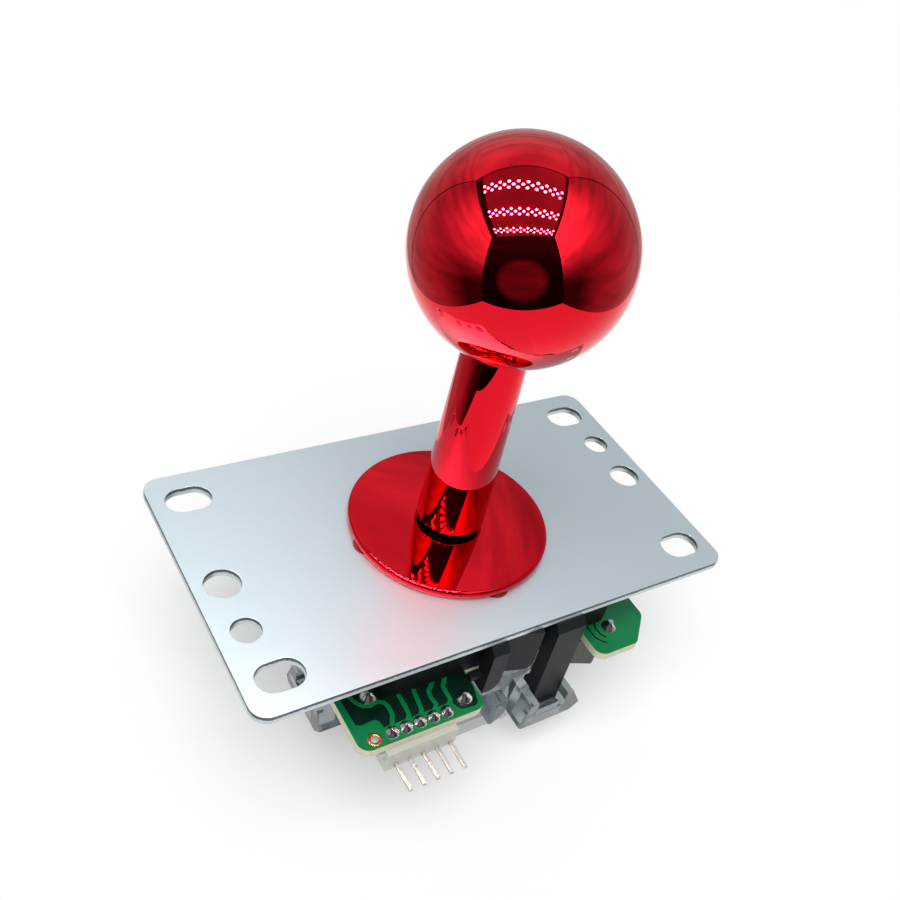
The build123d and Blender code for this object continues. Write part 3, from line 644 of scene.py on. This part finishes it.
def apply_modifier(kind, **settings):
    """Adds a modifier to the active object and applies it."""
    modifier = bpy.context.object.modifiers.new(kind.lower(), kind)
    for key, value in settings.items():
        setattr(modifier, key, value)
    bpy.ops.object.modifier_apply(modifier=modifier.name)


# %% [markdown]
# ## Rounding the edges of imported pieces
#
# No real edge is perfectly sharp: a moulded or punched part has a tiny round that catches the light
# as a thin line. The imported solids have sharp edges, so a copy of each one's mesh is merged, its
# flat faces are joined, and a bevel of a fifth of a millimetre or less rounds what is left.

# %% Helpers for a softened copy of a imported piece
def merged_copy(node, name):
    """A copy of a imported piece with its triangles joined, open for editing and all selected."""
    bpy.ops.object.select_all(action="DESELECT")
    piece = bpy.data.objects.new(name, nodes[node].data.copy())
    bpy.context.scene.collection.objects.link(piece)
    bpy.context.view_layer.objects.active = piece
    piece.select_set(True)
    piece.data.name = name
    bpy.ops.mesh.customdata_custom_splitnormals_clear()
    bpy.ops.object.mode_set(mode="EDIT")
    bpy.ops.mesh.select_all(action="SELECT")
    bpy.ops.mesh.remove_doubles(threshold=0.002 * MM)
    return piece


def softened_copy(node, name, body, finish, width, reshape=None):
    """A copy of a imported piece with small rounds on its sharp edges, which stands for that piece."""
    piece = merged_copy(node, name)
    bpy.ops.mesh.dissolve_limited(angle_limit=math.radians(0.5))
    bpy.ops.object.mode_set(mode="OBJECT")
    if reshape:
        reshape(piece)
    bpy.ops.object.shade_smooth_by_angle(angle=math.radians(35))
    apply_modifier("BEVEL", width=width, segments=2, limit_method="ANGLE",
                   angle_limit=math.radians(40), harden_normals=True, use_clamp_overlap=True)
    piece.data.materials.clear()
    piece.data.materials.append(finish)
    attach(piece, body)
    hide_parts(node)
    print(name, "has", len(piece.data.polygons), "faces")


# %% [markdown]
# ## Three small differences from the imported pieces
#
# In the photograph the gate's brackets end well above its floor with sloping corners, the housing's
# legs end a little higher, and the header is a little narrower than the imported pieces. The copies
# are changed before their edges are rounded. The brackets are cut with blocks that are turned a
# quarter each time, because the four sides repeat like a pinwheel.

# %% Shorter legs and a narrower header
leg_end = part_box("housing")[0].z + 0.1 * MM
header_right = -13.5 * MM
leg_shortening, header_narrowing = 0.8 * MM, 0.8 * MM


def shorten_legs(piece):
    """Moves the ends of the four legs up."""
    start_edit()
    pick(lambda mesh, face: face.normal.z < -0.9 and face.center.z < leg_end)
    bpy.ops.transform.translate(value=(0, 0, leg_shortening))
    bpy.ops.object.mode_set(mode="OBJECT")


def narrow_header(piece):
    """Moves the header's right side in."""
    start_edit()
    pick(lambda mesh, face: face.normal.x > 0.5 and face.center.x > header_right)
    bpy.ops.transform.translate(value=(-header_narrowing, 0, 0))
    bpy.ops.object.mode_set(mode="OBJECT")


# %% A block cut from all four sides
def cut_away(piece, middle, size, slope=(0, 0, 0), keep=None):
    """Cuts a block from a piece at all four sides, but not where the piece to keep is."""
    for turn in range(4):
        bpy.ops.object.select_all(action="DESELECT")
        bpy.ops.mesh.primitive_cube_add(size=1, location=middle, rotation=slope, scale=size)
        block = bpy.context.object
        bpy.ops.object.transform_apply(location=True, rotation=True, scale=True)
        block.data.transform(Matrix.Rotation(math.radians(90 * turn), 4, "Z"))
        for target, tool in ((block, keep), (piece, block)):
            if tool:
                bpy.context.view_layer.objects.active = target
                apply_modifier("BOOLEAN", object=tool, operation="DIFFERENCE", solver="EXACT")
        bpy.data.objects.remove(block)


def upright_edge(mesh, edge):
    """An edge whose ends are at different heights."""
    one_end, other_end = [mesh.vertices[v].co for v in edge.vertices]
    return abs(one_end.z - other_end.z) > MM


# %% Shorter brackets with sloping corners
bracket_end, bracket_front = -28.2 * MM, -30.3 * MM
bracket_left, bracket_right = 3.7 * MM, 18.0 * MM
bracket_middle, bracket_depth = -27.6 * MM, 8.2 * MM
front_slope, left_slope, right_slope = 1.8 * MM, 2.6 * MM, 4 * MM
tray_width, tray_height, tray_corner = 47.1 * MM, 30 * MM, 18.05 * MM


def shorten_brackets(piece):
    """Cuts the gate's brackets off above its floor and slopes their lower corners."""
    bpy.ops.object.select_all(action="DESELECT")
    bpy.ops.mesh.primitive_cube_add(size=1, location=(0, 0, -30 * MM),
                                    scale=(tray_width, tray_width, tray_height))
    tray = bpy.context.object
    bpy.ops.object.transform_apply(location=True, rotation=True, scale=True)
    start_edit()
    pick(upright_edge, "edges")
    bpy.ops.mesh.bevel(offset=tray_corner, segments=48)
    bpy.ops.object.mode_set(mode="OBJECT")
    below_bracket = (10 * MM, -26 * MM, bracket_end - 5 * MM)
    cut_away(piece, below_bracket, (30 * MM, 24 * MM, 10 * MM), keep=tray)
    bpy.data.objects.remove(tray)
    # a cube turned by an eighth cuts a slope where its flat side crosses the corner
    side, eighth = 10 * MM, math.radians(45)
    for corner, way, slope in (
        (None, 0, front_slope), (bracket_left, 1, left_slope), (bracket_right, -1, right_slope),
    ):
        inward = slope / 2 - side / math.sqrt(8)
        if way:
            middle, size = (corner + way * inward, bracket_middle), (side, bracket_depth, side)
        else:
            middle, size = (10 * MM, bracket_front + inward), (30 * MM, side, side)
        turned = (0, eighth, 0) if way else (eighth, 0, 0)
        cut_away(piece, (*middle, bracket_end + inward), size, turned)


# %% Softened plate, housing, gate, header and pins
softened_copy("mounting_plate", "punched_plate", "base", zinc_steel, 0.12 * MM)
softened_copy("housing", "moulded_housing", "base", black_nylon, 0.2 * MM, shorten_legs)
softened_copy("restrictor_gate", "clear_gate_tray", "base", clear_plastic_with_painted_shade, 0.2 * MM,
              shorten_brackets)
softened_copy("header_base", "header_block", "base", header_nylon_with_painted_shade, 0.12 * MM, narrow_header)
softened_copy("header_pins", "square_pins", "base", tinned, 0.08 * MM)

# %% [markdown]
# ## The centring spring
#
# The spring's upper end stays under the housing while its lower end leans with the cup, so it can't
# move as one stiff piece. It is cut in two at its middle, into an upper and a lower half.

# %% Spring in two halves
spring_low, spring_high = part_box("centering_spring")
spring_middle = (spring_low.z + spring_high.z) / 2
halves = (
    ("upper_coils", "base", "tilt_ring", "upper", "middle"),
    ("lower_coils", "tilt_ring", "carriage", "middle", "lower"),
)
for name, first_body, second_body, first_level, second_level in halves:
    piece = merged_copy("centering_spring", name)
    bpy.ops.mesh.bisect(plane_co=(0, 0, spring_middle), plane_no=(0, 0, 1), use_fill=True,
                        clear_inner=name == "upper_coils", clear_outer=name == "lower_coils")
    bpy.ops.object.mode_set(mode="OBJECT")
    bpy.ops.object.shade_smooth_by_angle(angle=math.radians(35))
    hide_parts("centering_spring")
    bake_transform(piece)
    print(name, "has", len(piece.data.polygons), "faces")

# %% [markdown]
# ## Bare board and tracks
#
# Most of the board's face is a sheet of copper under the green lacquer. Round the tracks the copper
# was etched away, and the lacquer is dark there, darker still as painted shade from the plate above.
# A flat outline, filled and set just on the face, is a bare area, and a thin flattened line on top of
# it is a track, as high as its copper.

# %% Helpers for flat patches and tracks
board_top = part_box("circuit_board")[1].z
copper_height = 0.015 * MM


def board_curve(name, points, closed):
    """A curve through points in millimetres, just above the board's face."""
    line = bpy.data.curves.new(name, "CURVE")
    spline = line.splines.new("POLY")
    spline.points.add(len(points) - 1)
    for point, (x, y) in zip(spline.points, points):
        point.co = (x * MM, y * MM, 0, 1)
    spline.use_cyclic_u = closed
    piece = bpy.data.objects.new(name, line)
    bpy.context.scene.collection.objects.link(piece)
    piece.location.z = board_top + copper_height
    return piece


def settle_curve(piece, finish):
    """Turns a curve into a mesh that rides on the base with its finish."""
    bpy.ops.object.select_all(action="DESELECT")
    bpy.context.view_layer.objects.active = piece
    piece.select_set(True)
    bpy.ops.object.convert(target="MESH")
    finish_piece(piece.name, "base", finish)


def bare_area_with_painted_shade(name, points):
    """A dark flat patch with the outline of an etched area, whose darkness is partly painted shade."""
    piece = board_curve(name, points, True)
    piece.data.dimensions = "2D"
    piece.data.fill_mode = "BOTH"
    settle_curve(piece, bare_board_painted_shade)


def track(name, points, width, finish):
    """A line with a flat oval section: a track, or a thin gap in the copper."""
    piece = board_curve(name, points, False)
    piece.data.dimensions = "3D"
    piece.data.bevel_depth = width / 2 * MM
    piece.data.bevel_resolution = 2
    piece.scale.z = 0.1
    settle_curve(piece, finish)


# %% Bare area and tracks beside the header
track_width, gap_width = 0.8, 0.4
bare_area_with_painted_shade("painted_shade_bare_board_by_header", [
    (-30.4, -18.0), (-30.4, -21.8), (-30.2, -26.8), (-29.4, -27.2), (-28.3, -27.1), (-26.8, -27.1),
    (-26.3, -27.8), (-26.2, -28.9), (-13.5, -28.9), (-13.2, -29.8), (-12.7, -30.8), (-10.1, -31.1),
    (-9.3, -30.7), (-8.4, -27.7), (-8.4, -18.0),
])
header_tracks = [
    [(-28.5, -20.3), (-28.7, -21.8), (-28.3, -23.0), (-27.5, -24.0), (-26.4, -24.4), (-24.9, -24.1),
     (-24.0, -24.7), (-23.7, -25.6), (-23.8, -27.3), (-25.1, -29.7)],
    [(-21.1, -21.0), (-21.1, -26.7), (-21.3, -28.4), (-22.6, -29.9)],
    [(-16.2, -20.5), (-17.9, -22.9), (-18.4, -24.9), (-18.6, -26.4), (-18.9, -28.3), (-20.1, -29.9)],
    [(-13.4, -22.0), (-14.6, -24.2), (-16.1, -25.6), (-16.3, -26.9), (-16.1, -28.3), (-17.5, -29.8)],
    [(-11.4, -23.0), (-12.7, -24.9), (-13.3, -25.6), (-13.4, -26.9), (-13.4, -28.4), (-15.0, -29.9)],
]
for number, points in enumerate(header_tracks, start=1):
    track(f"header_track_{number}", points, track_width, green_board)

# %% Two curved gaps in the copper beside the joint of the next lobe
joint_gaps = [
    [(18.8, -22.4), (18.7, -24.1), (18.6, -25.6), (18.7, -27.0), (19.3, -28.1), (20.2, -28.9)],
    [(20.8, -22.4), (20.5, -24.0), (20.0, -25.3), (20.1, -26.7), (20.7, -27.8)],
]
for number, points in enumerate(joint_gaps, start=1):
    # the gaps take the bare board's near-black green, which is partly painted shade
    track(f"joint_gap_{number}", points, gap_width, bare_board_painted_shade)

# %% [markdown]
# ## Solder joints
#
# Molten solder climbs up a leg and freezes as a bright cone with a hollow side. One cone is drawn
# out of a circle, ring by ring, and copied to every leg: five along the header and two under each
# switch.

# %% One solder joint, drawn out of a circle
joint_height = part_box("solder_joints")[1].z - board_top
cone_profile = (
    (1.0, 0.08), (0.93, 0.2), (0.78, 0.36), (0.6, 0.55),
    (0.46, 0.75), (0.38, 0.9), (0.34, 0.97), (0.204, 1.0),
)


def solder_cone(radius, height):
    """A cone with a hollow side whose foot is at the origin."""
    bpy.ops.object.select_all(action="DESELECT")
    bpy.ops.mesh.primitive_circle_add(vertices=32, radius=radius, fill_type="NGON", location=(0, 0, 0))
    start_edit()
    bpy.ops.mesh.select_all(action="SELECT")
    width, level = 1.0, 0.0
    for next_width, next_level in cone_profile:
        step, shrink = (next_level - level) * height, next_width / width
        bpy.ops.mesh.extrude_region_move(TRANSFORM_OT_translate={"value": (0, 0, step)})
        bpy.ops.transform.resize(value=(shrink, shrink, 1), center_override=(0, 0, 0))
        width, level = next_width, next_level
    bpy.ops.object.mode_set(mode="OBJECT")
    bpy.ops.object.shade_smooth()
    return bpy.context.object


# %% A joint at every leg, joined into one piece
header_cone = solder_cone(1.2 * MM, 1.25 * MM)
leg_cone = solder_cone(1.5 * MM, 1.25 * joint_height)
first_pin, pin_pitch, pin_row = -25.3, 2.54, -30.3
places = [(header_cone, first_pin + n * pin_pitch, pin_row) for n in range(5)]
for x, y in [(-25.87, -22.67), (-11.06, -28.98)]:
    for turn in range(4):
        places.append((leg_cone, x, y))
        x, y = -y, x
joints = []
for cone, x, y in places:
    joint = bpy.data.objects.new("joint", cone.data.copy())
    bpy.context.scene.collection.objects.link(joint)
    joint.data.transform(Matrix.Translation((x * MM, y * MM, board_top)))
    joints.append(joint)
for cone in (header_cone, leg_cone):
    bpy.data.objects.remove(cone)
bpy.ops.object.select_all(action="DESELECT")
for joint in joints:
    joint.select_set(True)
bpy.context.view_layer.objects.active = joints[0]
bpy.ops.object.join()
finish_piece("solder_cones", "base", solder, "solder_joints")

# %% [markdown]
# ## The empty hole's copper ring
#
# One hole in the board's corner has no leg in it. Its ring of bare copper is a flattened torus.

# %% Copper ring
bare_copper = bright_metal("bare_copper", "D08A62", 0.2, 0.3, 0.7, 0.01)
bpy.ops.object.select_all(action="DESELECT")
bpy.ops.mesh.primitive_torus_add(major_segments=40, minor_segments=10,
                                 major_radius=0.95 * MM, minor_radius=0.28 * MM,
                                 location=(-28.5 * MM, -30.3 * MM, board_top))
bpy.ops.object.mode_set(mode="EDIT")
bpy.ops.mesh.select_all(action="SELECT")
bpy.ops.transform.resize(value=(1, 1, 0.3), center_override=(0, 0, board_top))
bpy.ops.object.mode_set(mode="OBJECT")
finish_piece("copper_ring", "base", bare_copper)

# %% [markdown]
# ## The ball
#
# The ball is a moulded sphere, 35 mm wide, with a flat underside where the sleeve meets it and a
# bore for the threaded bush. A fine sphere is cut flat at the seat's height, and the cut is inset
# and pushed up for the bore.

# %% Red ball
ball_low, ball_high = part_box("ball_top")
ball_radius = (ball_high.x - ball_low.x) / 2
insert_low, insert_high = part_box("ball_insert")
bore_clearance = 0.05 * MM
bore_radius = (insert_high.x - insert_low.x) / 2 + bore_clearance
bpy.ops.object.select_all(action="DESELECT")
bpy.ops.mesh.primitive_uv_sphere_add(segments=160, ring_count=96, radius=ball_radius,
                                     location=(0, 0, ball_high.z - ball_radius))
bpy.ops.object.transform_apply(location=True, rotation=True, scale=True)
bpy.ops.object.mode_set(mode="EDIT")
bpy.ops.mesh.select_all(action="SELECT")
bpy.ops.mesh.bisect(plane_co=(0, 0, ball_low.z), plane_no=(0, 0, 1), use_fill=True, clear_inner=True)
seat_depth = ball_high.z - ball_radius - ball_low.z
seat_radius = math.sqrt(ball_radius**2 - seat_depth**2)
pick(lambda mesh, face: face.normal.z < -0.99 and face.center.z < ball_low.z + 1e-6)
bpy.ops.mesh.inset(thickness=seat_radius - bore_radius)
bpy.ops.mesh.extrude_region_move(TRANSFORM_OT_translate={"value": (0, 0, insert_high.z - ball_low.z)})
bpy.ops.object.mode_set(mode="OBJECT")
finish_piece("red_ball", "lever", red_mirror, "ball_top")
print("ball", round(ball_radius * 2000, 2), "mm across, seat", round(seat_radius * 2000, 2), "mm")

# %% [markdown]
# ## The sleeve round the shaft
#
# A tapered sleeve hides the steel shaft. It starts as a cone, its two ends are inset to the bore
# and joined through, and its outer rims get a small rounding that catches the light.

# %% Helper that picks outer rims
def rim_beyond(radius):
    """A test for level edges that lie further than a radius from the lever's axis."""
    def test(mesh, edge):
        ends = [mesh.vertices[v].co for v in edge.vertices]
        level = abs(ends[0].z - ends[1].z) < 1e-7
        return level and all(co.xy.length > radius for co in ends)

    return test


# %% Tapered sleeve
cover_low, cover_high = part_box("shaft_cover")
foot_radius = (cover_high.x - cover_low.x) / 2
top_radius = 5.5 * MM
sleeve_bore = 4.8 * MM
sleeve_length = cover_high.z - cover_low.z
bpy.ops.object.select_all(action="DESELECT")
bpy.ops.mesh.primitive_cone_add(vertices=160, radius1=foot_radius, radius2=top_radius,
                                depth=sleeve_length, location=(0, 0, (cover_low.z + cover_high.z) / 2))
bpy.ops.object.transform_apply(location=True, rotation=True, scale=True)
start_edit()
pick(lambda mesh, face: face.normal.z < -0.99)
bpy.ops.mesh.inset(thickness=foot_radius - sleeve_bore)
pick(lambda mesh, face: face.normal.z > 0.99)
bpy.ops.mesh.inset(thickness=top_radius - sleeve_bore)
pick(lambda mesh, face: len(face.vertices) > 100)
bpy.ops.mesh.bridge_edge_loops()
pick(rim_beyond(sleeve_bore + 0.3 * MM), "edges")
bpy.ops.mesh.bevel(offset=0.25 * MM, segments=3)
bpy.ops.object.mode_set(mode="OBJECT")
apply_modifier("WEIGHTED_NORMAL", keep_sharp=True)
finish_piece("tapered_sleeve", "lever", red_mirror, "shaft_cover")

# %% [markdown]
# ## The loose dust washer
#
# A round disc lies on the plate and hides its opening. It is a cylinder whose two faces are inset
# to the hole's edge and joined through, with its outer rims rounded.

# %% Dust washer
washer_low, washer_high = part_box("dust_washer")
washer_radius = (washer_high.x - washer_low.x) / 2
washer_bore = 5.8 * MM
bpy.ops.object.select_all(action="DESELECT")
bpy.ops.mesh.primitive_cylinder_add(vertices=200, radius=washer_radius,
                                    depth=washer_high.z - washer_low.z,
                                    location=(0, 0, (washer_low.z + washer_high.z) / 2))
bpy.ops.object.transform_apply(location=True, rotation=True, scale=True)
start_edit()
pick(lambda mesh, face: abs(face.normal.z) > 0.99)
bpy.ops.mesh.inset(thickness=washer_radius - washer_bore, use_individual=True)
pick(lambda mesh, face: len(face.vertices) > 100)
bpy.ops.mesh.bridge_edge_loops()
pick(rim_beyond(washer_radius - 0.1 * MM), "edges")
bpy.ops.mesh.bevel(offset=0.6 * MM, segments=6)
bpy.ops.object.mode_set(mode="OBJECT")
finish_piece("red_dust_washer", "base", red_mirror, "dust_washer")
print("washer", round(washer_radius * 2000, 2), "mm across")

# %% [markdown]
# ## How the picture is shown
#
# The Standard view shows colours as they are written, with no film look on top.

# %% View
bpy.context.scene.view_settings.view_transform = "Standard"
